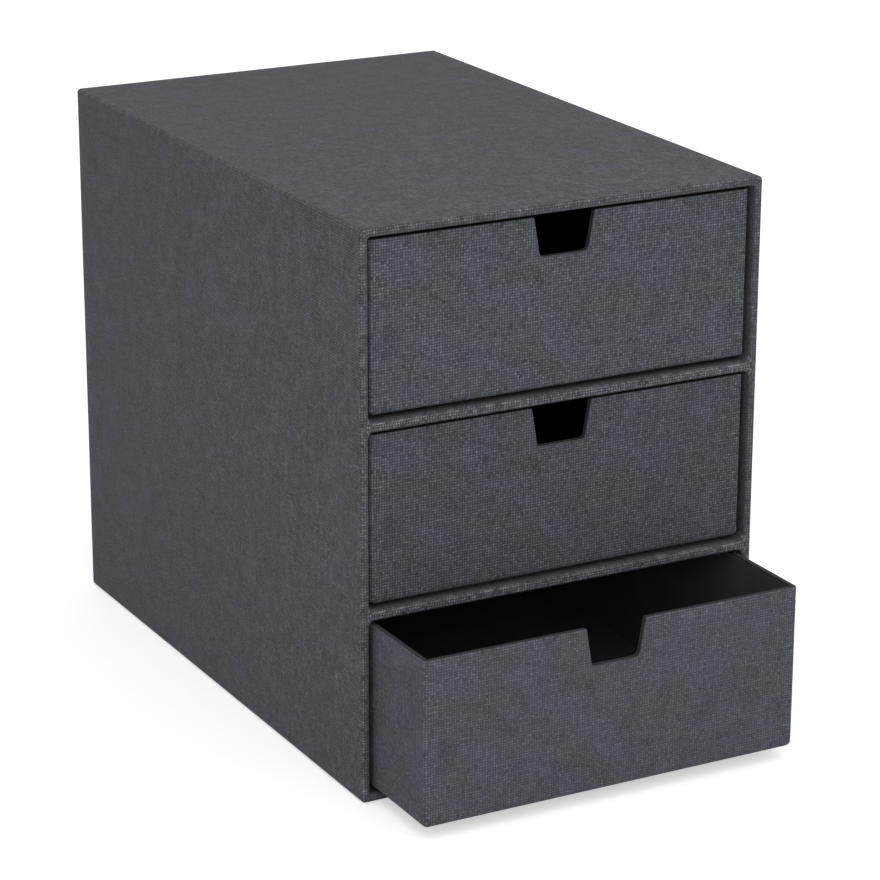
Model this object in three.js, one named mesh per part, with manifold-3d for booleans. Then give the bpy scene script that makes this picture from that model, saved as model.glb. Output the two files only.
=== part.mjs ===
// A storage box with three drawers, made of stiff board and covered in canvas-embossed paper.
// Millimetres. +Z is up and the drawers pull out towards -Y.
// The origin is on the floor, under the middle of the case.

import * as THREE from "three";
import { mergeVertices } from "three/addons/utils/BufferGeometryUtils.js";
import Module from "manifold-3d";

const wasm = await Module();
wasm.setup();

// The case, over its covering
const caseWidth = 178;
const caseDepth = 273;
const caseHeight = 232;
const caseBoard = 2.7; // thickness of the outer boards and the back
const shelfBoard = 3.3; // thickness of the boards of the shelves
const caseCorner = 1.25; // radius of the long outer edges of the boards
const caseNose = 0.85; // radius that covering has pressed on the front and back edges of the boards
const bayCount = 3;

// Papers and glue
const canvasPaper = 0.3; // thickness of the canvas-embossed covering paper
const blackPaper = 0.2; // thickness of the linings and of the paper under the case
const slideCard = 1.3; // thickness of the card that each drawer slides on
const cardInset = 8; // bare margin round that card
const glueLine = 0.05; // between any two layers or boards that are glued together
const turnIn = 18; // how far the covering runs into a bay, and back along a shelf
const rearFlap = 12; // width of the covering where it is turned over the back
const sheetInset = 2; // bare margin round the sheets under the case and on its back
const bayFillet = 1.5; // radius where the covering bridges the inner corners of the opening

// The drawers
const drawerBoard = 1.6; // thickness of every board in a drawer
const drawerCorner = 0.95; // radius of the upright outer edges of the boards
const drawerHem = 1.9; // radius of the lower outer edges of the boards
const underFlap = 12; // width of the covering where it is turned under the drawer
const liningDrop = 0.7; // how far the lining ends below the rim

// Room round a drawer in its bay
const sideGap = 1.7;
const underGap = 0.35; // below the card
const headGap = 1.65;
const rearGap = 0.6; // behind a drawer that is pushed right in
const frontRecess = 2.4; // from the case's front edge back to a closed drawer

// How far each drawer stands out of its closed place, from the top one down
const topPull = 0;
const middlePull = 0;
const bottomPull = 44;

// The finger notch
const notchTopWidth = 26.9;
const notchFootWidth = 21.4;
const notchDepth = 15.9;
const notchFootRadius = 2.4; // the roundest of its two lower corners
const notchLipRadius = 0.25;

// How much of that radius the left and right lower corners have, from the top drawer down
const footRoundShares = [
  [0.85, 1],
  [0.25, 0.8],
  [0.4, 1],
];

const overrun = 5; // how far a cutting shape runs past what it cuts
const cornerSteps = 5; // flats in a quarter turn of a rounded edge

// Wrapped boards: a board with glue and covering on both faces
const underCover = canvasPaper + glueLine;
const caseWall = caseBoard + 2 * underCover;
const shelfWall = shelfBoard + 2 * underCover;

// The covering's outline, which leaves room for the sheets under the case and on its back
const front = -caseDepth / 2;
const coverBack = caseDepth / 2 - underCover;
const coverDepth = coverBack - front;
const coverFloor = blackPaper + glueLine;
const coverHeight = caseHeight - coverFloor;
const coverMiddle = coverFloor + coverHeight / 2;

// The open front, shared by the bays and the shelves between them
const openWidth = caseWidth - 2 * caseWall;
const openHeight = coverHeight - 2 * caseWall;
const openFloor = coverFloor + caseWall;
const bayHeight = (openHeight - (bayCount - 1) * shelfWall) / bayCount;
const bayPitch = bayHeight + shelfWall;
const backBoardFront = coverBack - underCover - caseBoard;

// The drawer in its own frame: front face at y = 0, underside of its card at z = 0
const drawerWidth = openWidth - 2 * sideGap;
const drawerHeight = bayHeight - underGap - headGap;
const drawerDepth = backBoardFront - rearGap - (front + frontRecess);
const drawerWall = underCover + drawerBoard;
const drawerSole = slideCard + glueLine;
const insideWidth = drawerWidth - 2 * drawerWall;
const insideFront = drawerWall;
const insideBack = drawerDepth - drawerWall;

// Materials

function paint(color, roughness) {
  return new THREE.MeshStandardMaterial({ color, roughness, metalness: 0 });
}

const canvasMaterial = paint("#4c4d52", 0.75);
const blackPaperMaterial = paint("#3a3a3e", 0.7);
const caseBoardMaterial = paint("#353538", 0.9);
const drawerBoardMaterial = paint("#303033", 0.9);

// Solids: joining and cutting

function solidFrom(geometry) {
  const bare = geometry.clone();
  bare.deleteAttribute("normal");
  bare.deleteAttribute("uv");
  const merged = mergeVertices(bare);
  const vertProperties = new Float32Array(merged.attributes.position.array);
  const triVerts = new Uint32Array(merged.index.array);
  return new wasm.Manifold(new wasm.Mesh({ numProp: 3, vertProperties, triVerts }));
}

function geometryFrom(solid) {
  const mesh = solid.getMesh();
  const geometry = new THREE.BufferGeometry();
  const positions = new THREE.BufferAttribute(mesh.vertProperties, 3);
  geometry.setAttribute("position", positions);
  geometry.setIndex(new THREE.BufferAttribute(mesh.triVerts, 1));
  const faceted = geometry.toNonIndexed();
  faceted.computeVertexNormals();
  return faceted;
}

function pieceOf(name, solid, material) {
  const mesh = new THREE.Mesh(geometryFrom(solid), material);
  mesh.name = name;
  return mesh;
}

// A block from a low corner to a high corner
function block(low, high) {
  const size = high.map((value, axis) => value - low[axis]);
  const geometry = new THREE.BoxGeometry(...size);
  const middle = high.map((value, axis) => (value + low[axis]) / 2);
  geometry.translate(...middle);
  return solidFrom(geometry);
}

// Outlines

function roundedRectangle(outline, width, height, radius) {
  const right = width / 2;
  const top = height / 2;
  const quarter = Math.PI / 2;
  outline.moveTo(right, radius - top);
  outline.absarc(right - radius, top - radius, radius, 0, quarter);
  outline.absarc(radius - right, top - radius, radius, quarter, 2 * quarter);
  outline.absarc(radius - right, radius - top, radius, 2 * quarter, 3 * quarter);
  outline.absarc(right - radius, radius - top, radius, 3 * quarter, 4 * quarter);
  return outline;
}

function rectangle(outline, width, height) {
  const right = width / 2;
  const top = height / 2;
  outline.moveTo(right, -top);
  outline.lineTo(right, top);
  outline.lineTo(-right, top);
  outline.lineTo(-right, -top);
  outline.closePath();
  return outline;
}

// An outline pushed out to a length, with both ends rounded over by a radius within its size
function pushedOut(outline, length, roundOver) {
  const geometry = new THREE.ExtrudeGeometry(outline, {
    depth: length - 2 * roundOver,
    curveSegments: cornerSteps,
    bevelEnabled: roundOver > 0,
    bevelThickness: roundOver,
    bevelSize: roundOver,
    bevelOffset: -roundOver,
    bevelSegments: cornerSteps,
  });
  return geometry.translate(0, 0, roundOver);
}

// The same pushed out along +Y from a front plane, with the outline's y upright
function alongDepth(outline, startY, length, roundOver) {
  const geometry = pushedOut(outline, length, roundOver);
  geometry.rotateX(Math.PI / 2);
  geometry.translate(0, startY + length, 0);
  return geometry;
}

// The same pushed out along X about the middle, for an outline drawn in depth and height
function alongWidth(outline, length) {
  const geometry = pushedOut(outline, length, 0).translate(0, 0, -length / 2);
  const depthAxis = new THREE.Vector3(0, 1, 0);
  const heightAxis = new THREE.Vector3(0, 0, 1);
  const widthAxis = new THREE.Vector3(1, 0, 0);
  return geometry.applyMatrix4(new THREE.Matrix4().makeBasis(depthAxis, heightAxis, widthAxis));
}

// The case's covering and boards

// The case's closed outer form, taken in by an inset from the face of the covering
function caseForm(inset) {
  const width = caseWidth - 2 * inset;
  const height = coverHeight - 2 * inset;
  const corner = caseCorner + underCover - inset;
  const nose = Math.min(caseNose, caseCorner) + underCover - inset;
  const outline = roundedRectangle(new THREE.Shape(), width, height, corner);
  const geometry = alongDepth(outline, front + inset, coverDepth - 2 * inset, nose);
  return solidFrom(geometry.translate(0, 0, coverMiddle));
}

// The same form with the opening right through it and the opening's front edge rounded too
function caseFrameForm(inset) {
  const width = caseWidth - 2 * inset;
  const height = coverHeight - 2 * inset;
  const corner = caseCorner + underCover - inset;
  const nose = Math.min(caseNose, caseCorner) + underCover - inset;
  const outline = roundedRectangle(new THREE.Shape(), width, height, corner);
  const holeWidth = openWidth + 2 * inset;
  const holeHeight = openHeight + 2 * inset;
  if (inset > 0) {
    outline.holes.push(rectangle(new THREE.Path(), holeWidth, holeHeight));
  } else {
    outline.holes.push(roundedRectangle(new THREE.Path(), holeWidth, holeHeight, bayFillet));
  }
  const geometry = alongDepth(outline, front + inset, coverDepth + overrun, nose);
  return solidFrom(geometry.translate(0, 0, coverMiddle));
}

// A block as wide and high as the case, with room to spare, between two planes of depth
function caseSlice(nearY, farY) {
  const reach = caseWidth + caseHeight;
  return block([-reach, nearY, -reach], [reach, farY, reach]);
}

function caseCoverSheet() {
  const turnInEnd = front + turnIn;
  const mouth = caseFrameForm(0).subtract(caseFrameForm(canvasPaper));
  const mouthEnd = mouth.intersect(caseSlice(front - overrun, turnInEnd));
  const skin = caseForm(0).subtract(caseForm(canvasPaper));
  const rearSkin = skin.intersect(caseSlice(turnInEnd - canvasPaper, coverBack + overrun));
  const windowWidth = caseWidth - 2 * rearFlap;
  const windowHeight = coverHeight - 2 * rearFlap;
  const window = rectangle(new THREE.Shape(), windowWidth, windowHeight);
  const windowCut = alongDepth(window, coverBack - overrun, 2 * overrun, 0);
  const flaps = rearSkin.subtract(solidFrom(windowCut.translate(0, 0, coverMiddle)));
  return mouthEnd.add(flaps);
}

// Four boards glued edge to edge: top and bottom run across, and the sides stand between them
function caseFrameBoards() {
  const frame = caseFrameForm(underCover).intersect(caseForm(underCover));
  const half = openWidth / 2 + underCover;
  const floor = openFloor - underCover;
  const ceiling = openFloor + openHeight + underCover;
  const nearY = front - overrun;
  const farY = coverBack + overrun;
  const wide = caseWidth + overrun;
  const tall = caseHeight + overrun;
  const low = floor + glueLine;
  const high = ceiling - glueLine;
  return {
    case_top_board: frame.intersect(block([-wide, nearY, ceiling], [wide, farY, tall])),
    case_bottom_board: frame.intersect(block([-wide, nearY, -overrun], [wide, farY, floor])),
    case_left_board: frame.intersect(block([-wide, nearY, low], [-half, farY, high])),
    case_right_board: frame.intersect(block([half, nearY, low], [wide, farY, high])),
  };
}

function caseBackBoard() {
  const half = openWidth / 2 + canvasPaper;
  const low = openFloor - canvasPaper;
  const high = openFloor + openHeight + canvasPaper;
  return block([-half, backBoardFront, low], [half, backBoardFront + caseBoard, high]);
}

function caseBackSheet() {
  const width = caseWidth - 2 * sheetInset;
  const height = coverHeight - 2 * sheetInset;
  const outline = rectangle(new THREE.Shape(), width, height);
  const geometry = alongDepth(outline, coverBack + glueLine, canvasPaper, 0);
  return solidFrom(geometry.translate(0, 0, coverMiddle));
}

function baseSheet(width, depth, thickness, inset) {
  const sheetWidth = width - 2 * inset;
  const sheetDepth = depth - 2 * inset;
  const outline = rectangle(new THREE.Shape(), sheetWidth, sheetDepth);
  return pushedOut(outline, thickness, 0);
}

// Shelves

// The side view of a shelf: a long strip whose two front corners are rounded
function shelfOutline(nearY, farY, thickness, radius) {
  const outline = new THREE.Shape();
  const quarter = Math.PI / 2;
  outline.moveTo(farY, 0);
  outline.lineTo(farY, thickness);
  outline.absarc(nearY + radius, thickness - radius, radius, quarter, 2 * quarter);
  outline.absarc(nearY + radius, radius, radius, 2 * quarter, 3 * quarter);
  outline.closePath();
  return outline;
}

function shelfForm(inset, farY) {
  const thickness = shelfWall - 2 * inset;
  const radius = Math.min(caseNose, shelfBoard / 2) + underCover - inset;
  const outline = shelfOutline(front + inset, farY, thickness, radius);
  const geometry = alongWidth(outline, openWidth - 2 * glueLine);
  return solidFrom(geometry.translate(0, 0, inset));
}

function shelfPanel() {
  return shelfForm(underCover, backBoardFront - glueLine);
}

function shelfEdgeStrip() {
  const end = front + turnIn;
  return shelfForm(0, end).subtract(shelfForm(canvasPaper, end + overrun));
}

// Drawer

// The drawer's outer form, taken in by an inset from the face of the covering, up to the rim.
// It is what its outlines from above, from the front and from the side have in common.
function drawerForm(inset) {
  const width = drawerWidth - 2 * inset;
  const depth = drawerDepth - 2 * inset;
  const low = drawerSole + inset;
  const tall = 2 * (drawerHeight - low);
  const middle = drawerDepth / 2;
  const corner = drawerCorner + underCover - inset;
  const hem = drawerHem + underCover - inset;
  const fromAbove = roundedRectangle(new THREE.Shape(), width, depth, corner);
  const fromFront = roundedRectangle(new THREE.Shape(), width, tall, hem);
  const fromSide = roundedRectangle(new THREE.Shape(), depth, tall, hem);
  const upright = pushedOut(fromAbove, drawerHeight - low, 0).translate(0, middle, low);
  const lengthwise = alongDepth(fromFront, -overrun, drawerDepth + 2 * overrun, 0);
  const crosswise = alongWidth(fromSide, drawerWidth + 2 * overrun);
  return solidFrom(upright)
    .intersect(solidFrom(lengthwise.translate(0, 0, drawerHeight)))
    .intersect(solidFrom(crosswise.translate(0, middle, drawerHeight)));
}

// The notch's outline from above the rim down the left side, across the foot and up the right side
function notchOutline(roundShares) {
  const rim = drawerHeight;
  const foot = rim - notchDepth;
  const topHalf = notchTopWidth / 2;
  const footHalf = notchFootWidth / 2;
  const slant = Math.hypot(topHalf - footHalf, notchDepth);
  const across = (topHalf - footHalf) / slant;
  const down = notchDepth / slant;
  const [leftRadius, rightRadius] = roundShares.map((share) => share * notchFootRadius);
  const outline = new THREE.Shape();
  outline.moveTo(topHalf + notchLipRadius, rim + overrun);
  outline.lineTo(-topHalf - notchLipRadius, rim + overrun);
  outline.lineTo(-topHalf - notchLipRadius, rim);
  outline.quadraticCurveTo(
    -topHalf,
    rim,
    -topHalf + notchLipRadius * across,
    rim - notchLipRadius * down,
  );
  outline.lineTo(-footHalf - leftRadius * across, foot + leftRadius * down);
  outline.quadraticCurveTo(-footHalf, foot, -footHalf + leftRadius, foot);
  outline.lineTo(footHalf - rightRadius, foot);
  outline.quadraticCurveTo(
    footHalf,
    foot,
    footHalf + rightRadius * across,
    foot + rightRadius * down,
  );
  outline.lineTo(topHalf - notchLipRadius * across, rim - notchLipRadius * down);
  outline.quadraticCurveTo(topHalf, rim, topHalf + notchLipRadius, rim);
  outline.closePath();
  return outline;
}

// What is cut away for the finger, through the whole front wall and its lining
function notchCut(roundShares) {
  const depth = drawerWall + glueLine + blackPaper + 2 * overrun;
  return solidFrom(alongDepth(notchOutline(roundShares), -overrun, depth, 0));
}

function drawerCoverSheet(notch) {
  const skin = drawerForm(0).subtract(drawerForm(canvasPaper));
  const half = drawerWidth / 2 - underFlap;
  const nearY = underFlap;
  const farY = drawerDepth - underFlap;
  const window = block([-half, nearY, -overrun], [half, farY, drawerHeight / 2]);
  return skin.subtract(window).subtract(notch);
}

// Four walls round the tray and a bottom let in between them
function drawerBoards(notch) {
  const inside = insideWidth / 2;
  const wide = drawerWidth;
  const floor = drawerSole + underCover;
  const cavityLow = [-inside, insideFront, -overrun];
  const cavityHigh = [inside, insideBack, drawerHeight + overrun];
  const walls = drawerForm(underCover).subtract(block(cavityLow, cavityHigh));
  const top = drawerHeight + overrun;
  const nearY = insideFront + glueLine;
  const farY = insideBack - glueLine;
  const frontZone = block([-wide, -overrun, -overrun], [wide, insideFront, top]);
  const backZone = block([-wide, insideBack, -overrun], [wide, drawerDepth + overrun, top]);
  const leftZone = block([-wide, nearY, -overrun], [-inside, farY, top]);
  const rightZone = block([inside, nearY, -overrun], [wide, farY, top]);
  const bottomLow = [glueLine - inside, nearY, floor];
  const bottomHigh = [inside - glueLine, farY, floor + drawerBoard];
  return {
    front_board: walls.intersect(frontZone).subtract(notch),
    back_board: walls.intersect(backZone),
    left_board: walls.intersect(leftZone),
    right_board: walls.intersect(rightZone),
    bottom_board: block(bottomLow, bottomHigh),
  };
}

function drawerLining(notch) {
  const outer = insideWidth / 2 - glueLine;
  const inner = outer - blackPaper;
  const floor = drawerSole + underCover + drawerBoard + glueLine;
  const nearY = insideFront + glueLine;
  const farY = insideBack - glueLine;
  const top = drawerHeight - liningDrop;
  const solid = block([-outer, nearY, floor], [outer, farY, top]);
  const hollowLow = [-inner, nearY + blackPaper, floor + blackPaper];
  const hollowHigh = [inner, farY - blackPaper, top + overrun];
  return solid.subtract(block(hollowLow, hollowHigh)).subtract(notch);
}

function drawerBaseSheet() {
  const card = baseSheet(drawerWidth, drawerDepth, slideCard, cardInset);
  return solidFrom(card.translate(0, drawerDepth / 2, 0));
}

// The assembly

function buildCase() {
  const group = new THREE.Group();
  for (const [name, solid] of Object.entries(caseFrameBoards())) {
    group.add(pieceOf(name, solid, caseBoardMaterial));
  }
  group.add(pieceOf("case_back_board", caseBackBoard(), caseBoardMaterial));
  group.add(pieceOf("case_cover_sheet", caseCoverSheet(), canvasMaterial));
  group.add(pieceOf("case_back_sheet", caseBackSheet(), canvasMaterial));
  const base = solidFrom(baseSheet(caseWidth, caseDepth, blackPaper, sheetInset));
  group.add(pieceOf("case_base_sheet", base, blackPaperMaterial));
  return group;
}

// A shelf and its edge strip on top of each bay but the highest
function buildShelf(name, bay) {
  const group = new THREE.Group();
  group.add(pieceOf(name + "_board", shelfPanel(), caseBoardMaterial));
  group.add(pieceOf(name + "_edge_strip", shelfEdgeStrip(), canvasMaterial));
  group.position.z = openFloor + bay * bayPitch + bayHeight;
  return group;
}

function buildDrawer(name, bay, pull, roundShares) {
  const group = new THREE.Group();
  const notch = notchCut(roundShares);
  for (const [part, solid] of Object.entries(drawerBoards(notch))) {
    group.add(pieceOf(name + "_" + part, solid, drawerBoardMaterial));
  }
  group.add(pieceOf(name + "_cover_sheet", drawerCoverSheet(notch), canvasMaterial));
  group.add(pieceOf(name + "_base_sheet", drawerBaseSheet(), blackPaperMaterial));
  group.add(pieceOf(name + "_lining", drawerLining(notch), blackPaperMaterial));
  group.position.set(0, front + frontRecess - pull, openFloor + bay * bayPitch + underGap);
  return group;
}

const box = new THREE.Group();
box.add(buildCase());
["shelf_lower", "shelf_upper"].forEach((name, bay) => box.add(buildShelf(name, bay)));
[topPull, middlePull, bottomPull].forEach((pull, place) => {
  const bay = bayCount - 1 - place;
  box.add(buildDrawer("drawer_" + (place + 1), bay, pull, footRoundShares[place]));
});

export default box;
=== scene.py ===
# %% [markdown]
# A storage box with three drawers, dressed for its portrait.
# The real box is stiff board, glued together and then covered in paper that is embossed like
# canvas. A maker works in that order, and so does this lesson: the boards come ready from the
# construction model, and each sheet of paper is cut, folded and pasted round them here.

# %% Load the construction model
import math

import bpy
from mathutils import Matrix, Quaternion, Vector, noise


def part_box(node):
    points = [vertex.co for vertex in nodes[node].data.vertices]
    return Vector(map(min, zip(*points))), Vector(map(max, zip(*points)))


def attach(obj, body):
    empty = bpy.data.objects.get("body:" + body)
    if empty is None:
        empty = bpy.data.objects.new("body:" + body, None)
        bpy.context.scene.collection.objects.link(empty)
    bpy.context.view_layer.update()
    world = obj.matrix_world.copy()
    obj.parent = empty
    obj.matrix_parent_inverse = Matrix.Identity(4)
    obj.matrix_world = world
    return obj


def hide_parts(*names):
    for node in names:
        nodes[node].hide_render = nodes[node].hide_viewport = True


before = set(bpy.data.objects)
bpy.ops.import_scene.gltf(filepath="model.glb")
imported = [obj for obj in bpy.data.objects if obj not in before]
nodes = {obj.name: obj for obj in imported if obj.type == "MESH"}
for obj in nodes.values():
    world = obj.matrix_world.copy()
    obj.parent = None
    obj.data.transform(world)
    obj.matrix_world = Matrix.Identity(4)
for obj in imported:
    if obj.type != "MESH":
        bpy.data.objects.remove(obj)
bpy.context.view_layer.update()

print("pieces in the construction model:", len(nodes))

# %% [markdown]
# Sizes come next. They are measured from the boards and sheets of the construction model, so a
# sheet of paper lands exactly where its board is. Only what the model doesn't say, such as how
# thick the paper is, is written here as a number, in millimetres.

# %% Units and thin things
MM = 0.001
canvas_thickness = 0.3 * MM
lining_thickness = 0.2 * MM
glue_line = 0.05 * MM
sharp_angle = math.radians(40)
under_cover = canvas_thickness + glue_line
print("paper and glue on one face of a board, in mm:", round(under_cover / MM, 2))

# %% Sizes of the case
cover_low, cover_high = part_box("case_cover_sheet")
strip_low, strip_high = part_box("shelf_upper_edge_strip")
case_width = cover_high.x - cover_low.x
case_height = cover_high.z - cover_low.z
case_middle = (cover_high.z + cover_low.z) / 2
case_front = cover_low.y
cover_back = cover_high.y
turn_in = strip_high.y - strip_low.y
open_half_width = strip_high.x + glue_line
case_wall = case_width / 2 - open_half_width
print("case over its paper, in mm:", [round(s / MM, 1) for s in (case_width, case_height)])
print("wall over its paper, in mm:", round(case_wall / MM, 2))

# %% Sizes of a drawer
drawer_names = ["drawer_1", "drawer_2", "drawer_3"]
drawer_low, drawer_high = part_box("drawer_1_cover_sheet")
drawer_width = drawer_high.x - drawer_low.x
drawer_depth = drawer_high.y - drawer_low.y
lining_low, lining_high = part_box("drawer_1_lining")
print("drawer over its paper, in mm:", [round(s / MM, 1) for s in (drawer_width, drawer_depth)])

# %% [markdown]
# The camera stands where the photographer's stood: to the left of the front, well above the box
# and far away with a long lens, so that the upright edges stay almost parallel.

# %% Camera
camera_place = Vector((-623.7, -1187.3, 545.1)) * MM
camera_aim = Vector((30.6, 22.0, 84.8)) * MM
camera_roll = math.radians(0.17)
camera_data = bpy.data.cameras.new("camera")
camera_data.lens = 135.0
camera_data.sensor_width = 36
camera_data.clip_start = 0.05
camera = bpy.data.objects.new("camera", camera_data)
bpy.context.scene.collection.objects.link(camera)
camera.location = camera_place
camera.rotation_mode = "QUATERNION"
level_look = (camera_aim - camera_place).to_track_quat("-Z", "Y")
camera.rotation_quaternion = level_look @ Quaternion((0, 0, 1), camera_roll)
bpy.context.scene.camera = camera
print("distance to the box, in mm:", round((camera_aim - camera_place).length / MM))

# %% [markdown]
# Colours are easiest to read off a picture as the hex codes that paint programs show. Shaders
# want linear light instead, so one function turns the codes into it.

# %% Colour
def linear(code):
    """An sRGB hex code such as #4c4d52 as the linear colour that a shader takes."""
    shares = [int(code[place:place + 2], 16) / 255 for place in (1, 3, 5)]
    light = [s / 12.92 if s <= 0.04045 else ((s + 0.055) / 1.055) ** 2.4 for s in shares]
    return (*light, 1)


print("mid grey in linear light:", [round(c, 3) for c in linear("#808080")])

# %% [markdown]
# A material is a small machine of nodes. One helper places a node, turns its switches and plugs
# in what it needs, so that each finish below reads from top to bottom. Some nodes hold several
# sockets of one name, for numbers and for colours, so the helper picks the one that is in use.

# %% Helper: one node at a time
def add(tree, kind, sockets=(), **settings):
    """Adds a node, sets its switches, and fills sockets with values or with other nodes."""
    node = tree.nodes.new("ShaderNode" + kind)
    for setting, value in settings.items():
        setattr(node, setting, value)
    for socket, value in dict(sockets).items():
        if isinstance(socket, str):
            names = [own.name if own.enabled else "" for own in node.inputs]
            socket = names.index(socket)
        if isinstance(value, bpy.types.Node):
            value = next(output for output in value.outputs if output.enabled)
        if isinstance(value, bpy.types.NodeSocket):
            tree.links.new(value, node.inputs[socket])
        else:
            node.inputs[socket].default_value = value
    return node


def empty_material(name):
    """A new material with nothing in it yet."""
    material = bpy.data.materials.new(name)
    material.use_nodes = True
    material.node_tree.nodes.clear()
    return material, material.node_tree


# %% [markdown]
# The covering is paper, dyed dark grey in the pulp and pressed between rollers that are engraved
# like plain-woven canvas. The eye sees crowns and hollows in rows about 1.1 mm apart, and thick
# and thin places along each thread. The colour makes the crowns a little lighter, because they are
# rubbed, and the hollows darker as painted shade. No two crossings look alike: one shows its
# rubbed crown and painted hollow shade strongly, the next hardly at all. Every sheet below carries
# a map named weave that measures it in metres along and across, so the threads bend round the
# folds as the paper does.

# %% Canvas-embossed paper: the threads
thread_step = (1.13 * MM, 1.10 * MM)
thread_drift = 0.55
drift_size = 17 * MM
thread_wobble = 0.62
wobble_size = 3.5 * MM
over_and_under = 0.36
thread_blend = 0.08
crown_steepness = 1.8


def plain_weave(tree):
    """The place on the paper, the thread numbers, the height and which thread is on top."""
    place = add(tree, "UVMap", uv_map="weave")
    per_thread = (1 / thread_step[0], 1 / thread_step[1], 0)
    threads = add(tree, "VectorMath", {0: place, 1: per_thread}, operation="MULTIPLY")
    wandering = threads
    for size, reach in ((drift_size, thread_drift), (wobble_size, thread_wobble)):
        drift = add(tree, "TexNoise", {"Vector": place, "Scale": 1 / size, "Detail": 1.0})
        centred = add(tree, "VectorMath", {0: drift.outputs["Color"], 1: (0.5, 0.5, 0.5)},
                      operation="SUBTRACT")
        wandering = add(tree, "VectorMath", {0: centred, 1: (reach,) * 3, 2: wandering},
                        operation="MULTIPLY_ADD")
    numbers = add(tree, "SeparateXYZ", {0: wandering})
    waves = []
    for axis in ("X", "Y"):
        turns = add(tree, "Math", {0: numbers.outputs[axis], 1: math.pi}, operation="MULTIPLY")
        waves.append(add(tree, "Math", {0: turns}, operation="SINE"))
    crossing = add(tree, "Math", {0: waves[0], 1: waves[1]}, operation="MULTIPLY")
    tops = []
    for wave, side in zip(waves, (1, -1)):
        bulge = add(tree, "Math", {0: wave}, operation="ABSOLUTE")
        ride = add(tree, "Math", {0: crossing, 1: side * over_and_under, 2: 1 - over_and_under},
                   operation="MULTIPLY_ADD")
        tops.append(add(tree, "Math", {0: bulge, 1: ride}, operation="MULTIPLY"))
    height = add(tree, "Math", {0: tops[0], 1: tops[1], 2: thread_blend},
                 operation="SMOOTH_MAX")
    height = add(tree, "Math", {0: height, 1: crown_steepness}, operation="POWER")
    warp_on_top = add(tree, "Math", {0: crossing, 1: 0.0}, operation="GREATER_THAN")
    return place, wandering, height, warp_on_top


print("from thread to thread, in mm:", [round(step / MM, 2) for step in thread_step])

# %% Canvas-embossed paper: thick and thin places in the threads
slub_length = 7.0
thread_spread = 3.7


def slubs(tree, threads, warp_on_top):
    """A tone from 0 to 1 that runs along each thread and changes from thread to thread."""
    numbers = add(tree, "SeparateXYZ", {0: threads})
    tones = []
    for own, other in (("X", "Y"), ("Y", "X")):
        number = add(tree, "Math", {0: numbers.outputs[own]}, operation="FLOOR")
        apart = add(tree, "Math", {0: number, 1: thread_spread}, operation="MULTIPLY")
        along = add(tree, "Math", {0: numbers.outputs[other], 1: slub_length}, operation="DIVIDE")
        place = add(tree, "CombineXYZ", {own: apart, other: along})
        tones.append(add(tree, "TexNoise", {"Vector": place, "Scale": 1.0, "Detail": 2.0}))
    return add(tree, "Mix", {"Factor": warp_on_top, "A": tones[1], "B": tones[0]})


print("a thick or thin place, in threads:", slub_length)

# %% Canvas-embossed paper: every crossing differs
crown_spread = 1.9
fibre_size = 0.4 * MM
fibre_spread = 1.9


def crossing_rub_and_shade(tree, place, threads):
    """How strongly each crossing shows its rubbed crown and painted hollow shade: near 1, by chance
    more or less, and broken by fibres.
    """
    numbers = add(tree, "VectorMath", {0: threads}, operation="FLOOR")
    chance = add(tree, "TexWhiteNoise", {"Vector": numbers}, noise_dimensions="2D")
    mean = add(tree, "VectorMath", {0: chance.outputs["Color"], 1: (1 / 3,) * 3},
               operation="DOT_PRODUCT")
    crossing = add(tree, "Math", {0: mean.outputs["Value"], 1: crown_spread,
                                  2: 1 - crown_spread / 2}, operation="MULTIPLY_ADD")
    fibres = add(tree, "TexNoise", {"Vector": place, "Scale": 1 / fibre_size, "Detail": 2.0})
    broken = add(tree, "Math", {0: fibres, 1: fibre_spread, 2: 1 - fibre_spread / 2},
                 operation="MULTIPLY_ADD")
    return add(tree, "Math", {0: crossing, 1: broken}, operation="MULTIPLY")


rub_and_shade_ends = (1 - crown_spread / 2, 1 + crown_spread / 2)
print("a crown's rub by chance, from and to:", [round(end, 2) for end in rub_and_shade_ends])


# %% [markdown]
# The pieces of the pattern now meet in one shader. Dyed paper has the refractive index of
# cellulose, near 1.5, and scatters light in all directions; only the rubbed crowns are a little
# smoother than the hollows. The tint drifts between a bluer and a greener grey over a
# centimetre or two, as dyed pulp does. Folds are painted lighter, partly as rubbed wear and partly
# as a painted highlight on the rounded edges. The case's sheet has less light and dark between
# crowns and hollows than the drawers', so it looks plain towards the back and crisp at the folds,
# and it is painted lighter and crisper towards the front as painted light. Each drawer's strip
# has its own tone.

# %% Canvas-embossed paper: the finish
canvas_blue = linear("#51515b")
canvas_green = linear("#4d5053")
canvas_rubbed_and_highlit = linear("#6c6d73")
tint_size = 16 * MM
tint_turns = (0.38, 0.62)
cloud_size = 9 * MM
cloud_spread = 0.32
thin_tone = 0.55
slub_gain = 0.9
thin_swell = 0.75
slub_swell = 0.5
emboss_depth = 0.16 * MM
hollow_shade_share = 0.36
crown_contrast = 1.24
fold_contrast = 1.4
fold_rub_and_highlight = 0.9
scuff_size = 4 * MM
scuff_turns = (0.42, 0.7)
hollow_roughness = 0.82
crown_polish = 0.16
paper_ior = 1.5
paper_sheen = 0.15


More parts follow.
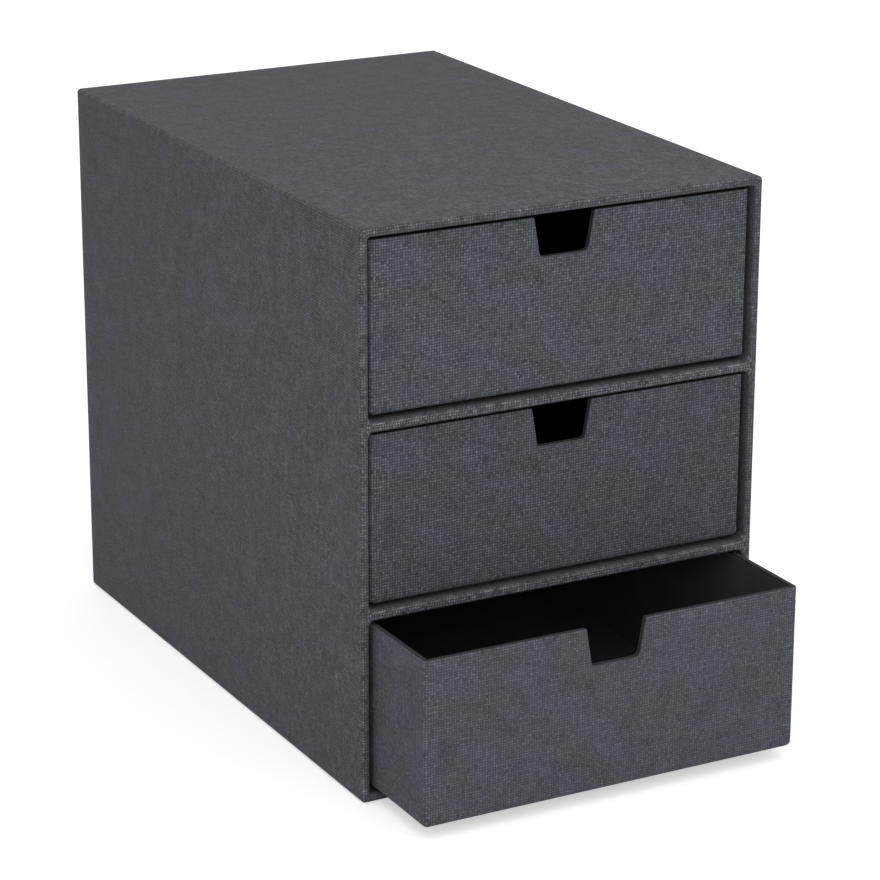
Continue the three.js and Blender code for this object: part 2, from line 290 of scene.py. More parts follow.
def canvas_embossed_paper(name, contrast, dye):
    """Dark grey paper embossed like canvas, with the crowns' contrast and the sheet's own dye."""
    material, tree = empty_material(name)
    place, threads, height, warp_on_top = plain_weave(tree)
    tone = slubs(tree, threads, warp_on_top)
    rub_and_shade = crossing_rub_and_shade(tree, place, threads)
    patches = add(tree, "TexNoise", {"Vector": place, "Scale": 1 / tint_size, "Detail": 3.0})
    hue = add(tree, "MapRange", {"Value": patches, "From Min": tint_turns[0],
                                 "From Max": tint_turns[1]})
    dyed = add(tree, "Mix", {"Factor": hue, "A": canvas_blue, "B": canvas_green},
               data_type="RGBA")
    fold = add(tree, "Attribute", attribute_name="fold")
    crisp = add(tree, "MapRange", {"Value": fold.outputs["Fac"], "To Min": contrast,
                                   "To Max": fold_contrast})
    # The crowns are made lighter where they are rubbed, and the hollows darker as painted shade.
    crown = add(tree, "Math", {0: height, 1: rub_and_shade, 2: -hollow_shade_share}, operation="MULTIPLY_ADD")
    crisp = add(tree, "Math", {0: crisp, 1: crown_contrast}, operation="MULTIPLY")
    crown = add(tree, "Math", {0: crown, 1: crisp, 2: 1.0}, operation="MULTIPLY_ADD")
    streak = add(tree, "Math", {0: tone, 1: slub_gain, 2: thin_tone}, operation="MULTIPLY_ADD")
    clouds = add(tree, "TexNoise", {"Vector": place, "Scale": 1 / cloud_size, "Detail": 3.0})
    cloud = add(tree, "Math", {0: clouds, 1: cloud_spread, 2: 1 - cloud_spread / 2},
                operation="MULTIPLY_ADD")
    shade = add(tree, "Math", {0: crown, 1: streak}, operation="MULTIPLY")
    shade = add(tree, "Math", {0: shade, 1: cloud}, operation="MULTIPLY")
    scuffs = add(tree, "TexNoise", {"Vector": place, "Scale": 1 / scuff_size, "Detail": 4.0})
    scuffed = add(tree, "MapRange", {"Value": scuffs, "From Min": scuff_turns[0],
                                     "From Max": scuff_turns[1], "To Max": fold_rub_and_highlight})
    # Folds are painted lighter: partly rubbed wear, partly painted highlight.
    rubbed = add(tree, "Math", {0: fold.outputs["Fac"], 1: scuffed}, operation="MULTIPLY")
    worn = add(tree, "Mix", {"Factor": rubbed, "A": dyed, "B": canvas_rubbed_and_highlit},
               data_type="RGBA")
    own = add(tree, "VectorMath", {0: worn, 1: dye}, operation="MULTIPLY")
    colour = add(tree, "VectorMath", {0: own, "Scale": shade}, operation="SCALE")
    rough = add(tree, "Math", {0: height, 1: -crown_polish, 2: hollow_roughness},
                operation="MULTIPLY_ADD")
    swell = add(tree, "Math", {0: tone, 1: slub_swell, 2: thin_swell}, operation="MULTIPLY_ADD")
    relief = add(tree, "Math", {0: height, 1: swell}, operation="MULTIPLY")
    bump = add(tree, "Bump", {"Height": relief, "Distance": emboss_depth, "Strength": 1.0})
    shader = add(tree, "BsdfPrincipled", {
        "Base Color": colour, "Roughness": rough, "IOR": paper_ior,
        "Specular IOR Level": paper_sheen, "Normal": bump})
    add(tree, "OutputMaterial", {"Surface": shader})
    return material


case_paper = canvas_embossed_paper(
    "canvas_embossed_paper_of_case", contrast=0.27, dye=(0.94, 0.91, 0.895))
# Each drawer's sheet has its own tone and strength of crowns and hollows; the middle one is a
# little darker.
drawer_papers = {
    "drawer_1": canvas_embossed_paper(
        "canvas_embossed_paper_1", contrast=1.0, dye=(1.0, 1.02, 1.02)),
    "drawer_2": canvas_embossed_paper(
        "canvas_embossed_paper_2", contrast=0.95, dye=(0.94, 0.94, 0.95)),
    "drawer_3": canvas_embossed_paper(
        "canvas_embossed_paper_3", contrast=0.64, dye=(1.04, 1.04, 1.05))}
print("threads in one centimetre:", round(10 * MM / thread_step[0], 1))

# %% [markdown]
# Where a sheet is cut, its raw edge shows. The pulp is dyed right through, and the knife leaves
# it darker and fuzzier than the pressed face, with paler fibres here and there.

# %% Cut edge of the canvas paper
fuzz_depth = 0.05 * MM
cut_roughness = 0.92


def cut_paper_edge():
    """The raw edge of the grey covering paper."""
    material, tree = empty_material("canvas_paper_cut_edge")
    place = add(tree, "TexCoord")
    fibres = add(tree, "TexNoise", {"Vector": place.outputs["Object"], "Scale": 1 / fibre_size,
                                    "Detail": 3.0})
    colour = add(tree, "Mix", {"Factor": fibres, "A": linear("#3a3b3f"), "B": linear("#56585c")},
                 data_type="RGBA")
    bump = add(tree, "Bump", {"Height": fibres, "Distance": fuzz_depth, "Strength": 0.6})
    shader = add(tree, "BsdfPrincipled", {
        "Base Color": colour, "Roughness": cut_roughness, "IOR": paper_ior, "Normal": bump})
    add(tree, "OutputMaterial", {"Surface": shader})
    return material


canvas_edge = cut_paper_edge()
print("fuzz on a cut edge, in mm:", round(fuzz_depth / MM, 2))

# %% [markdown]
# The drawers are lined with thin black paper, dyed in the pulp and left uncoated. It is smooth
# to the hand but shows its fibres close up, with paler specks of dust and faint rubbed marks
# where things have slid over it.

# %% Black uncoated paper
short_fibre = 0.9 * MM
rub_mark = 38 * MM
rub_turns = (0.45, 0.75)
rub_polish = 0.15
lining_roughness = 0.78
speck_spacing = 5 * MM
speck_reach = (0.055, 0.02)
fibre_depth = 0.03 * MM


def black_uncoated_paper():
    """Smooth black paper with short fibres, specks and rub marks."""
    material, tree = empty_material("black_uncoated_paper")
    place = add(tree, "TexCoord").outputs["Object"]
    fibres = add(tree, "TexNoise", {"Vector": place, "Scale": 1 / short_fibre, "Detail": 5.0,
                                    "Roughness": 0.65})
    clouds = add(tree, "TexNoise", {"Vector": place, "Scale": 1 / rub_mark, "Detail": 3.0})
    rubs = add(tree, "MapRange", {"Value": clouds, "From Min": rub_turns[0],
                                  "From Max": rub_turns[1]})
    specks = add(tree, "TexVoronoi", {"Vector": place, "Scale": 1 / speck_spacing})
    speck = add(tree, "MapRange", {"Value": specks.outputs["Distance"],
                                   "From Min": speck_reach[0], "From Max": speck_reach[1]})
    base = add(tree, "Mix", {"Factor": fibres, "A": linear("#363639"), "B": linear("#48484d")},
               data_type="RGBA")
    rubbed = add(tree, "Mix", {"Factor": rubs, "A": base, "B": linear("#4c4c51")},
                 data_type="RGBA")
    dusty = add(tree, "Mix", {"Factor": speck, "A": rubbed, "B": linear("#5a5957")},
                data_type="RGBA")
    rough = add(tree, "Math", {0: rubs, 1: -rub_polish, 2: lining_roughness},
                operation="MULTIPLY_ADD")
    bump = add(tree, "Bump", {"Height": fibres, "Distance": fibre_depth, "Strength": 0.7})
    shader = add(tree, "BsdfPrincipled", {
        "Base Color": dusty, "Roughness": rough, "IOR": paper_ior, "Normal": bump})
    add(tree, "OutputMaterial", {"Surface": shader})
    return material


black_paper = black_uncoated_paper()
print("specks in ten centimetres:", round(100 * MM / speck_spacing))

# %% [markdown]
# The boards are pressed from black-dyed pulp. Their faces are flat and dull, and their knife-cut
# edges are a little furry, with flecks of paler fibre.

# %% Black pressed board
pulp_size = 1.6 * MM
fleck_spacing = 2.2 * MM
fleck_reach = (0.09, 0.03)
pulp_depth = 0.12 * MM
board_roughness = 0.9


def black_pressed_board():
    """Black board of pressed pulp, with pale flecks of fibre."""
    material, tree = empty_material("black_pressed_board")
    place = add(tree, "TexCoord").outputs["Object"]
    pulp = add(tree, "TexNoise", {"Vector": place, "Scale": 1 / pulp_size, "Detail": 6.0,
                                  "Roughness": 0.7})
    flecks = add(tree, "TexVoronoi", {"Vector": place, "Scale": 1 / fleck_spacing})
    fleck = add(tree, "MapRange", {"Value": flecks.outputs["Distance"],
                                   "From Min": fleck_reach[0], "From Max": fleck_reach[1]})
    base = add(tree, "Mix", {"Factor": pulp, "A": linear("#222225"), "B": linear("#2d2d30")},
               data_type="RGBA")
    flecked = add(tree, "Mix", {"Factor": fleck, "A": base, "B": linear("#3f3e3d")},
                  data_type="RGBA")
    bump = add(tree, "Bump", {"Height": pulp, "Distance": pulp_depth, "Strength": 0.8})
    shader = add(tree, "BsdfPrincipled", {
        "Base Color": flecked, "Roughness": board_roughness, "IOR": paper_ior, "Normal": bump})
    add(tree, "OutputMaterial", {"Surface": shader})
    return material


black_board = black_pressed_board()
print("flecks in one centimetre:", round(10 * MM / fleck_spacing, 1))

# %% [markdown]
# The boards, the sheet under the case and the cards under the drawers already have their true
# shape, so they stay as they are and only take on their finish.

# %% Finish of the boards and base sheets
for name, node in nodes.items():
    finish = black_board if name.endswith("_board") else black_paper
    for material_slot in node.material_slots:
        material_slot.link = "OBJECT"
        material_slot.material = finish
print("boards:", sum(name.endswith("_board") for name in nodes))

# %% [markdown]
# A pasted sheet is a grid that follows a path: round the box one way, and over its edges the
# other way. The first helper draws the loop round a box with rounded corners. With every point
# it also gives how far along the paper that point lies, because the threads are pressed into the
# paper and not into the box.

# %% Helper: a loop round a box
arc_shares = [step / 6 for step in range(7)]


def even_shares(length, spacing):
    """Shares from 0 to 1 that split a length into equal steps of about the spacing."""
    steps = max(1, round(length / spacing))
    return [step / steps for step in range(steps + 1)]


def rounded_loop(size, radius, paper_size, paper_radius, shares):
    """Points round a rounded rectangle, and the stretch of paper from each to the next."""
    points, stretches, start = [], [], 0
    for side in range(4):
        outward = Vector((round(math.cos(side * math.pi / 2)), round(math.sin(side * math.pi / 2))))
        along = Vector((-outward.y, outward.x))
        reach = size[side % 2] / 2
        run = size[1 - side % 2] / 2 - radius
        paper_run = paper_size[1 - side % 2] / 2 - paper_radius
        bend = paper_radius * math.pi / 2
        steps = [run * (2 * share - 1) for share in shares[side % 2]]
        points += [outward * reach + along * step for step in steps]
        marks = [start + paper_run + step for step in steps]
        stretches += zip(marks, marks[1:])
        start += 2 * paper_run
        centre = outward * (reach - radius) + along * run
        for share in arc_shares[1:-1]:
            angle = share * math.pi / 2
            towards = outward * math.cos(angle) + along * math.sin(angle)
            points.append(centre + towards * radius)
        marks = [start + share * bend for share in arc_shares]
        stretches += zip(marks, marks[1:])
        start += bend
    return points, stretches


print("points on each rounded corner:", len(arc_shares))

# %% [markdown]
# The second helper turns rows of points into a sheet with its weave map. With the map goes an
# attribute named fold, which says how much lighter and crisper each spot is painted: partly as
# rubbed wear, partly as painted highlight, painted light and painted shade. A sheet of paper has
# two faces and a thin cut edge, so it is thickened to its real thickness. Real paper never lies
# dead flat either: where glue is uneven it stands off by a tenth of a millimetre, which softens
# the reflections. That lift is a slow noise along the surface.

# %% Helper: a pasted sheet
lift = 0.12 * MM
lift_size = 45 * MM


def finished(piece):
    """Bakes a piece's modifiers into its mesh."""
    bpy.context.view_layer.update()
    depsgraph = bpy.context.evaluated_depsgraph_get()
    mesh = bpy.data.meshes.new_from_object(piece.evaluated_get(depsgraph))
    piece.modifiers.clear()
    piece.data = mesh
    mesh.name = piece.name
    mesh.shade_smooth()
    mesh.set_sharp_from_angle(angle=sharp_angle)
    return piece


def pasted_sheet(name, rows, stretches, heights, thickness, finishes, folds, lift_height):
    """A sheet through rows of points. Each stretch is the paper between two points of a row."""
    count = len(rows[0])
    quads = len(stretches[0])
    faces, coordinates = [], []
    for row in range(len(rows) - 1):
        for place in range(quads):
            following = (place + 1) % count
            faces.append((row * count + place, (row + 1) * count + place,
                          (row + 1) * count + following, row * count + following))
            near, far = stretches[row][place], stretches[row + 1][place]
            coordinates += [(near[0], heights[row]), (far[0], heights[row + 1]),
                            (far[1], heights[row + 1]), (near[1], heights[row])]
    mesh = bpy.data.meshes.new(name)
    mesh.from_pydata([point for row in rows for point in row], [], faces)
    weave = mesh.uv_layers.new(name="weave")
    weave.uv.foreach_set("vector", [number for pair in coordinates for number in pair])
    fold = mesh.attributes.new("fold", "FLOAT", "POINT")
    fold.data.foreach_set("value", [share for row in folds for share in row])
    normals = [vertex.normal.copy() for vertex in mesh.vertices]
    for vertex, normal in zip(mesh.vertices, normals):
        swell = 0.5 + 0.5 * noise.noise(vertex.co / lift_size)
        vertex.co += normal * lift_height * swell
    for finish in finishes:
        mesh.materials.append(finish)
    piece = bpy.data.objects.new(name, mesh)
    bpy.context.scene.collection.objects.link(piece)
    thicken = piece.modifiers.new("paper thickness", "SOLIDIFY")
    thicken.thickness = thickness
    thicken.offset = -1
    thicken.material_offset_rim = len(finishes) - 1
    marks = [mark for row in stretches for stretch in row for mark in stretch]
    flat = (max(marks) - min(marks), max(heights) - min(heights))
    print(name, "cut flat, in mm:", [round(side / MM) for side in flat])
    return finished(piece)


print("a sheet stands off its board, in mm, at most:", round(lift / MM, 2))

# %% [markdown]
# A fold needs its own short helper too: a path in two directions, given as how far in and how
# far down or back, that goes round a quarter circle. Every row's distance along the path is
# kept, because it becomes the second direction of the weave.

# %% Helper: the path over an edge
def quarter(centre, radius, start, end):
    """Points of an arc between two angles in degrees, about a centre."""
    angles = [math.radians(start + (end - start) * share) for share in arc_shares]
    return [(centre[0] + radius * math.cos(a), centre[1] + radius * math.sin(a)) for a in angles]


def straight(start, end, spacing):
    """Points from start to end, without the first and the last."""
    gap = math.dist(start, end)
    steps = even_shares(gap, spacing)[1:-1]
    return [(start[0] + (end[0] - start[0]) * s, start[1] + (end[1] - start[1]) * s) for s in steps]


def distances(path):
    """How far along the path each of its points is."""
    travelled = [0]
    for before, after in zip(path, path[1:]):
        travelled.append(travelled[-1] + math.dist(before, after))
    return travelled


quarter_length = distances(quarter((0, 0), 1, 0, 90))[-1]
print("paper over a quarter circle of 1 mm, in mm:", round(quarter_length, 2))

# %% [markdown]
# The case is wrapped in one long sheet. It starts 18 mm inside the mouth, comes out over the
# rounded front edge, runs back over the outside, and is turned over the back, where its corners
# meet in mitres. Wrapping it in the same way here gives the front edge its soft, even roundness.
# Folds at the front and back are painted lightest, partly as rubbed wear and partly as a painted
# highlight, and the long edges a little. The inside of the mouth is kept darker as painted shade,
# and the outside is painted lighter towards the front as painted light that falls off towards the
# back.

# %% Case: covering sheet
case_corner = 1.6 * MM
mouth_corner = 1.5 * MM
nose_radius = 1.2 * MM
rear_flap = 12 * MM
least_corner = 0.05 * MM
sheet_step = 6 * MM
flap_step = 3 * MM
fold_reach = 2.2 * MM
light_rub = 0.3
mouth_painted_shade = 0.7
front_painted_light = 0.4


def nearness(distance, reach):
    """1 on a fold, fading to 0 at the reach."""
    return max(0, 1 - abs(distance) / reach)


def on_corner(point, size, corner):
    """1 where a point of a loop lies on one of its rounded corners, otherwise 0."""
    beyond = [abs(place) > side / 2 - corner for place, side in zip(point, size)]
    return float(all(beyond))


def case_profile():
    """How far in from the outside, and how far back from the front, from mouth to rear flap."""
    depth = cover_back - case_front
    inner = case_wall - nose_radius
    path = [(case_wall, turn_in)]
    path += straight((case_wall, turn_in), (case_wall, nose_radius), flap_step)
    path += quarter((inner, nose_radius), nose_radius, 0, -90)
    path += quarter((nose_radius, nose_radius), nose_radius, -90, -180)
    path += straight((0, nose_radius), (0, depth - nose_radius), sheet_step)
    path += quarter((nose_radius, depth - nose_radius), nose_radius, 180, 90)
    path += straight((nose_radius, depth), (rear_flap, depth), flap_step)
    path.append((rear_flap, depth))
    return path


def case_cover_sheet():
    """The canvas paper round the four sides of the case."""
    size = (case_width, case_height)
    shares = [even_shares(length, sheet_step) for length in size[::-1]]
    path = case_profile()
    depth = cover_back - case_front
    rows, stretches, folds = [], [], []
    for inset, back in path:
        own_size = [length - 2 * inset for length in size]
        if back < depth / 2:
            corner = case_corner + (mouth_corner - case_corner) * inset / case_wall
        else:
            corner = max(case_corner - inset, least_corner)
        loop, stretch = rounded_loop(own_size, corner, size, case_corner, shares)
        rows.append([Vector((p.x, case_front + back, case_middle + p.y)) for p in loop])
        stretches.append(stretch)
        in_mouth = inset / case_wall if back < depth / 2 else 0
        edge = max(nearness(back, fold_reach), nearness(back - depth, fold_reach))
        # The outside is painted lighter towards the front as painted light, and the inside of the
        # mouth darker as painted shade.
        edge = max(edge, front_painted_light * (1 - back / depth)) * (1 - mouth_painted_shade * in_mouth)
        folds.append([max(edge, light_rub * on_corner(p, size, case_corner)) for p in loop])
    return pasted_sheet("case_canvas_cover", rows, stretches, distances(path),
                        canvas_thickness, (case_paper, canvas_edge), folds, lift)


cover = case_cover_sheet()
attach(cover, "case")
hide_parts("case_cover_sheet")
print("faces in the case's covering:", len(cover.data.polygons))

# %% [markdown]
# The back is finished with one more sheet, pasted over the turned flaps. Thin paper shows what
# lies under it: the sheet sinks by the thickness of the flaps where they end, so a faint frame
# shows all round.

# %% Case: back sheet
flap_fade = 1.5 * MM
quarter_shares = (0.25, 0.5, 0.75, 1)
back_lift = 0.3 * lift


def case_back_sheet():
    """The canvas paper on the back, sunk inside the flaps that it covers."""
    low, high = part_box("case_back_sheet")
    flap_edge = (case_width / 2 - rear_flap, case_height / 2 - rear_flap)
    sides = []
    for half, flap in zip(((high.x - low.x) / 2, (high.z - low.z) / 2), flap_edge):
        middle = [(2 * s - 1) * (flap - flap_fade) for s in even_shares(2 * flap, sheet_step)]
        steps = [flap - flap_fade * (1 - s) for s in quarter_shares]
        rim = [flap + (half - flap) * s for s in quarter_shares]
        sides.append([-x for x in (steps + rim)[::-1]] + middle + steps + rim)
    rows, stretches, folds = [], [], []
    for up in sides[1]:
        row = []
        for across in sides[0]:
            inside = min(flap_edge[0] - abs(across), flap_edge[1] - abs(up)) / flap_fade
            share = min(max(inside, 0), 1)
            sunk = under_cover * share * share * (3 - 2 * share)
            row.append(Vector((across, high.y - sunk, case_middle + up)))
        rows.append(row)
        stretches.append(list(zip(sides[0], sides[0][1:])))
        folds.append([0.0] * len(row))
    return pasted_sheet("case_back_canvas", rows, stretches, sides[1],
                        canvas_thickness, (case_paper, canvas_edge), folds, back_lift)


back_sheet = case_back_sheet()
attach(back_sheet, "case")
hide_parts("case_back_sheet")
print("faces in the back sheet:", len(back_sheet.data.polygons))

# %% [markdown]
# Each shelf has a strip of the canvas paper folded round its front edge. The strip is pressed
# into the corner where the shelf meets the side walls, so it flares there in a small fillet, and
# its ends follow the rounded edge of the wall.

# %% Shelves: edge strips
strip_flare = 2.6 * MM
strip_lift = 0.5 * lift
flare_shares = [0, 0.12, 0.25, 0.4, 0.6, 0.8]


def edge_strip(name, node):
    """The canvas strip round the front edge of a shelf."""
    low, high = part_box(node)
    middle = (low.z + high.z) / 2
    half_height = (high.z - low.z) / 2
    path = [(half_height, turn_in)]
    path += straight((half_height, turn_in), (half_height, nose_radius), flap_step)
    path += quarter((half_height - nose_radius, nose_radius), nose_radius, 0, -90)
    path += quarter((nose_radius - half_height, nose_radius), nose_radius, -90, -180)
    path += straight((-half_height, nose_radius), (-half_height, turn_in), flap_step)
    path.append((-half_height, turn_in))
    flare_share = strip_flare / open_half_width
    from_left = [-1 + flare_share * share for share in flare_shares]
    between = even_shares(2 * open_half_width, sheet_step)
    inner = [(1 - flare_share) * (2 * share - 1) for share in between]
    across = from_left + inner + [-place for place in from_left[::-1]]
    rows, stretches, folds = [], [], []
    for up, back in path:
        near = max(nose_radius - back, 0)
        past_wall = nose_radius - math.sqrt(nose_radius ** 2 - near ** 2)
        row = []
        for place in across:
            from_wall = (1 - abs(place)) * open_half_width
            rest = max(strip_flare - from_wall, 0)
            flare = strip_flare - math.sqrt(strip_flare ** 2 - rest ** 2)
            x = place * (open_half_width - glue_line + past_wall)
            z = middle + up * (1 + flare / half_height)
            row.append(Vector((x, case_front + back, z)))
        rows.append(row)
        marks = [place * open_half_width for place in across]
        stretches.append(list(zip(marks, marks[1:])))
        # The strip's front fold is painted lighter, partly as wear and partly as painted highlight.
        folds.append([nearness(back, fold_reach)] * len(row))
    return pasted_sheet(name, rows, stretches, distances(path),
                        canvas_thickness, (case_paper, canvas_edge), folds, strip_lift)


for shelf in ("shelf_upper", "shelf_lower"):
    strip = edge_strip(shelf + "_canvas_edge", shelf + "_edge_strip")
    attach(strip, "case")
    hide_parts(shelf + "_edge_strip")
    print(strip.name, "faces:", len(strip.data.polygons))

# %% [markdown]
# The finger notch is punched through wall, covering and lining in one go. Its sides lean in and
# its lower corners are rounded, each by a slightly different amount because the tool is worn. A
# cutting shape is made from that outline and taken out of each sheet with a boolean.

# %% Finger notch
notch_top = 26.9 * MM
notch_foot = 21.4 * MM
notch_depth = 15.9 * MM
foot_round = 2.4 * MM
lip_round = 0.25 * MM
foot_round_shares = {"drawer_1": (0.85, 1), "drawer_2": (0.25, 0.8), "drawer_3": (0.4, 1)}


def bent(before, corner, after, radius):
    """A corner between two others, rounded off over the radius along both sides."""
    start = corner + (before - corner).normalized() * radius
    end = corner + (after - corner).normalized() * radius
    return [start.lerp(corner, s).lerp(corner.lerp(end, s), s) for s in arc_shares]


def notch_cutter(name, rim):
    """A block of the notch's outline, a little larger than the wall that it cuts."""
    left_share, right_share = foot_round_shares[name]
    over = 5 * MM
    above = [Vector((side * (notch_top / 2 + lip_round), rim + over)) for side in (-1, 1)]
    lips = [Vector((side * notch_top / 2, rim)) for side in (-1, 1)]
    feet = [Vector((side * notch_foot / 2, rim - notch_depth)) for side in (-1, 1)]
    beside = [lip + Vector((side * over, 0)) for lip, side in zip(lips, (-1, 1))]
    outline = [above[0]]
    outline += bent(beside[0], lips[0], feet[0], lip_round)
    outline += bent(lips[0], feet[0], feet[1], foot_round * left_share)
    outline += bent(feet[0], feet[1], lips[1], foot_round * right_share)
    outline += bent(feet[1], lips[1], beside[1], lip_round)
    outline.append(above[1])
    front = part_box(name + "_cover_sheet")[0].y
    depths = (front - over, front + 2 * over)
    count = len(outline)
    points = [(p.x, depth, p.y) for depth in depths for p in outline]
    sides = [(i, i + count, (i + 1) % count + count, (i + 1) % count) for i in range(count)]
    ends = [tuple(range(count)), tuple(range(2 * count - 1, count - 1, -1))]
    mesh = bpy.data.meshes.new(name + "_notch")
    mesh.from_pydata(points, [], sides + ends)
    mesh.uv_layers.new(name="weave")
    for polygon in mesh.polygons:
        polygon.material_index = 1
    cutter = bpy.data.objects.new(name + "_notch", mesh)
    bpy.context.scene.collection.objects.link(cutter)
    return cutter


def cut_notch(piece, cutter):
    """Takes the notch out of a sheet."""
    for material in piece.data.materials:
        cutter.data.materials.append(material)
    cut = piece.modifiers.new("notch", "BOOLEAN")
    cut.operation = "DIFFERENCE"
    cut.solver = "EXACT"
    cut.object = cutter
    finished(piece)
    cutter.data.materials.clear()


notch_widths = [round(width / MM, 1) for width in (notch_top, notch_foot)]
print("notch across its top and its foot, in mm:", notch_widths)

# %% [markdown]
# A drawer is wrapped like the case: one strip goes round its four walls, starts at the rim and
# is turned under the bottom. The strip's two ends overlap on the back wall, next to a corner,
# which leaves an upright step as high as the paper is thick. The folds are rubbed only lightly,
# because the case shelters its drawers.

# %% Drawers: covering sheets
drawer_corner = 1.3 * MM
hem_radius = 2.25 * MM
under_flap = 12 * MM
under_step = 4 * MM
rim_roll = 0.15 * MM
lap_share = 0.93
lap_step = 0.4 * MM


def drawer_profile(height):
    """How far in, and how far up, from the rim down the wall and under the bottom."""
    path = [(rim_roll, height), (rim_roll / 3, height - rim_roll / 2), (0, height - 2 * rim_roll)]
    path += straight((0, height - 2 * rim_roll), (0, hem_radius), sheet_step)
    path += quarter((hem_radius, hem_radius), hem_radius, 180, 270)
    path += straight((hem_radius, 0), (under_flap, 0), under_step)
    path.append((under_flap, 0))
    return path


def drawer_cover_sheet(name):
    """The canvas paper round the four walls of a drawer."""
    low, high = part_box(name + "_cover_sheet")
    size = (high.x - low.x, high.y - low.y)
    middle = (high + low) / 2
    height = high.z - low.z
    lap_at = 2 * (size[0] / 2 - drawer_corner) * (1 - lap_share)
    shares = [even_shares(length, sheet_step) for length in size[::-1]]
    step_share = lap_step / size[0]
    shares[1] = sorted(shares[1] + [lap_share - step_share, lap_share + step_share])
    path = drawer_profile(height)
    rows, stretches, folds = [], [], []
    for inset, up in path:
        own_size = [length - 2 * inset for length in size]
        loop, stretch = rounded_loop(own_size, drawer_corner, size, drawer_corner, shares)
        row = []
        for p in loop:
            on_back = p.y > own_size[1] / 2 - drawer_corner / 2
            lapped = on_back and -p.x > size[0] / 2 - lap_at
            out = canvas_thickness if lapped and inset < hem_radius / 2 else 0
            row.append(Vector((middle.x + p.x, middle.y + p.y + out, low.z + up)))
        rows.append(row)
        stretches.append(stretch)
        edge = max(nearness(up - height, fold_reach / 2), nearness(up, fold_reach))
        folds.append([light_rub * max(edge, on_corner(p, size, drawer_corner)) for p in loop])
    return pasted_sheet(name + "_canvas_cover", rows, stretches, distances(path),
                        canvas_thickness, (drawer_papers[name], canvas_edge), folds, lift)


print("paper turned under a drawer, in mm:", round(under_flap / MM))

# %% [markdown]
# Inside, a strip of black paper goes round the walls and is turned onto the floor, and a second
# sheet then covers the floor. Both stop short of the rim, so the cut edge of the board shows
# along the top, as it does on the real drawer.

# %% Drawers: linings
floor_turn = 9 * MM
lining_fold = 0.7 * MM
floor_margin = 1.2 * MM
settle_width = 3 * MM
loose_lift = 0.5 * lift


def wall_lining(name):
    """The black paper round the inside of a drawer's walls."""
    low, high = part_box(name + "_lining")
    size = (high.x - low.x, high.y - low.y)
    middle = (high + low) / 2
    height = high.z - low.z
    path = [(0, height)]
    path += straight((0, height), (0, lining_fold), sheet_step)
    path += quarter((lining_fold, lining_fold), lining_fold, 180, 270)
    path += straight((lining_fold, 0), (floor_turn, 0), flap_step)
    path.append((floor_turn, 0))
    shares = [even_shares(length, sheet_step) for length in size[::-1]]
    rows, stretches, folds = [], [], []
    for inset, up in path:
        own_size = [length - 2 * inset for length in size]
        corner = max(lining_fold - inset, least_corner)
        loop, stretch = rounded_loop(own_size, corner, size, lining_fold, shares)
        rows.append([Vector((middle.x + p.x, middle.y + p.y, low.z + up)) for p in loop])
        stretches.append(stretch)
        folds.append([0.0] * len(loop))
    return pasted_sheet(name + "_wall_lining", rows, stretches, distances(path),
                        lining_thickness, (black_paper, black_paper), folds, 0)


def floor_lining(name):
    """The black sheet on the floor of a drawer, over the turned edges of the wall lining."""
    low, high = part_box(name + "_lining")
    inside = lining_thickness + floor_margin
    sides = []
    for start, end in ((low.x + inside, high.x - inside), (low.y + inside, high.y - inside)):
        length = end - start
        sides.append([start + length * share for share in even_shares(length, sheet_step)])
    top = low.z + 2 * lining_thickness + glue_line
    rows, stretches, folds = [], [], []
    for deep in sides[1][::-1]:
        row = []
        for across in sides[0]:
            from_edge = min(across - low.x, high.x - across, deep - low.y, high.y - deep)
            share = min(max((from_edge - floor_turn) / settle_width, 0), 1)
            row.append(Vector((across, deep, top - lining_thickness * share)))
        rows.append(row)
        stretches.append(list(zip(sides[0], sides[0][1:])))
        folds.append([0.0] * len(row))
    return pasted_sheet(name + "_floor_lining", rows, stretches, sides[1][::-1],
                        lining_thickness, (black_paper, black_paper), folds, loose_lift)


print("paper turned onto a drawer's floor, in mm:", round(floor_turn / MM))

# %% Dress the three drawers
for name in drawer_names:
    cover = drawer_cover_sheet(name)
    walls = wall_lining(name)
    base = floor_lining(name)
    cutter = notch_cutter(name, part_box(name + "_front_board")[1].z)
    cut_notch(cover, cutter)
    cut_notch(walls, cutter)
    bpy.data.objects.remove(cutter)
    for piece, stands_for, slot in ((cover, "cover_sheet", "canvas_paper"),
                                    (walls, "lining", "black_paper"),
                                    (base, "lining", "black_paper")):
        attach(piece, name)
        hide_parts(name + "_" + stands_for)
    print(name, "faces:", [len(piece.data.polygons) for piece in (cover, walls, base)])

# %% [markdown]
# The studio is a pale floor under a white surround. What the camera sees of both, straight or in
# a reflection, is lifted to white with the light path node, so that no extra light falls on the
# box, and the box keeps its soft shadow.

# %% Floor
floor_half = 6.0
floor_lift = 0.5


def seen_rays(tree):
    """1 for rays from the camera, also by way of a reflection or through glass, otherwise 0."""
    path = add(tree, "LightPath")
    seen = add(tree, "Math", {0: path.outputs["Is Camera Ray"], 1: path.outputs["Is Glossy Ray"]},
               operation="ADD")
    return add(tree, "Math", {0: seen, 1: path.outputs["Is Transmission Ray"]}, operation="ADD")


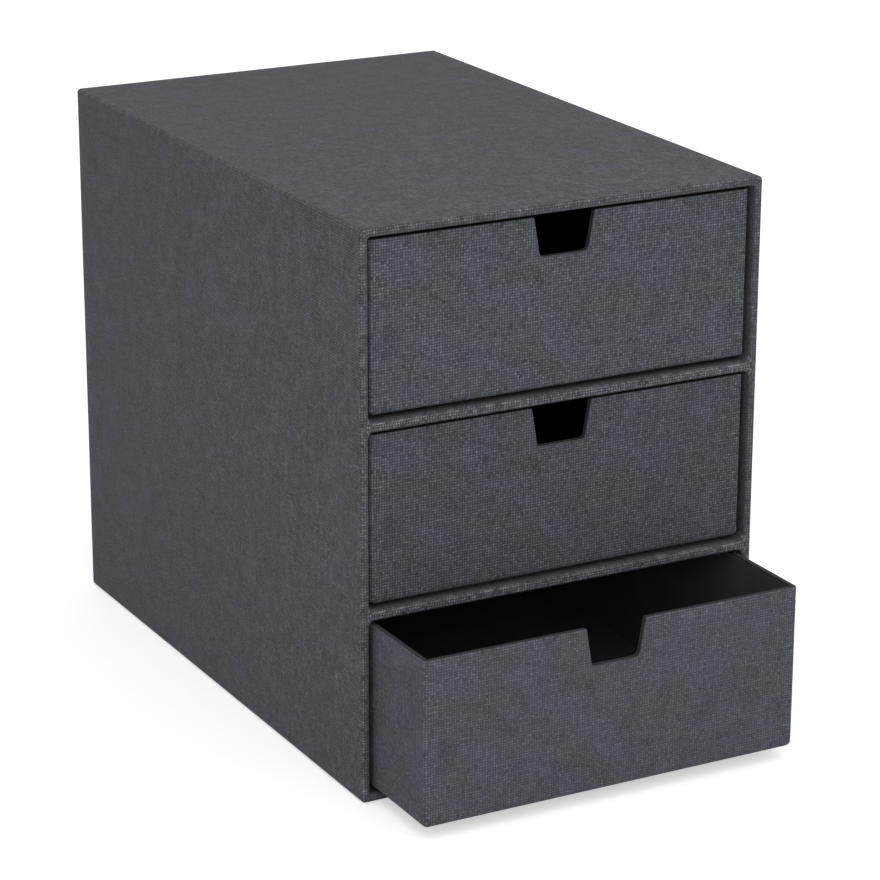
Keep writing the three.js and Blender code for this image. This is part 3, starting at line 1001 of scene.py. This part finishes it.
def pale_floor():
    """A large pale sheet under the box."""
    material, tree = empty_material("pale_studio_floor")
    glow = add(tree, "Math", {0: seen_rays(tree), 1: floor_lift}, operation="MULTIPLY")
    matt = add(tree, "BsdfDiffuse", {"Color": linear("#eeeeee")})
    light = add(tree, "Emission", {"Color": (1, 1, 1, 1), "Strength": glow})
    both = add(tree, "AddShader", {0: matt, 1: light})
    add(tree, "OutputMaterial", {"Surface": both})
    mesh = bpy.data.meshes.new("floor")
    corners = [(-1, -1), (1, -1), (1, 1), (-1, 1)]
    mesh.from_pydata([(x * floor_half, y * floor_half, 0) for x, y in corners], [], [(0, 1, 2, 3)])
    mesh.materials.append(material)
    floor = bpy.data.objects.new("floor", mesh)
    bpy.context.scene.collection.objects.link(floor)
    return floor


floor = pale_floor()
print("floor, in m:", 2 * floor_half)

# %% [markdown]
# The light is that of a product studio: an even white surround, one broad soft lamp overhead and
# one in front, a little to the left. The surround does most of the work, so no face goes dark.

# %% Surround
surround_level = 0.64
world = bpy.data.worlds.new("studio")
bpy.context.scene.world = world
world.use_nodes = True
sky = world.node_tree
sky.nodes.clear()
level = add(sky, "Math", {0: seen_rays(sky), 1: 1 - surround_level, 2: surround_level},
            operation="MULTIPLY_ADD")
background = add(sky, "Background", {"Color": (1, 1, 1, 1), "Strength": level})
add(sky, "OutputWorld", {"Surface": background})
print("surround, where 1 is white:", surround_level)


# %% Lamps
lamp_aim = Vector((0, 0, 0.1))


def soft_lamp(name, place, size, power):
    """A square area lamp that faces the box."""
    data = bpy.data.lights.new(name, "AREA")
    data.size = size
    data.energy = power
    lamp = bpy.data.objects.new(name, data)
    bpy.context.scene.collection.objects.link(lamp)
    lamp.location = place
    lamp.rotation_mode = "QUATERNION"
    lamp.rotation_quaternion = (lamp_aim - lamp.location).to_track_quat("-Z", "Y")
    return lamp


overhead = soft_lamp("overhead_softbox", place=Vector((0.1, -0.6, 1.9)), size=1.6, power=6)
front_key = soft_lamp("front_softbox", place=Vector((-0.6, -2.0, 1.3)), size=1.2, power=10)
print("lamps:", [lamp.name for lamp in (overhead, front_key)])

# %% [markdown]
# The last cell sets the plain colour transform.

# %% Finish
bpy.context.scene.view_settings.view_transform = "Standard"
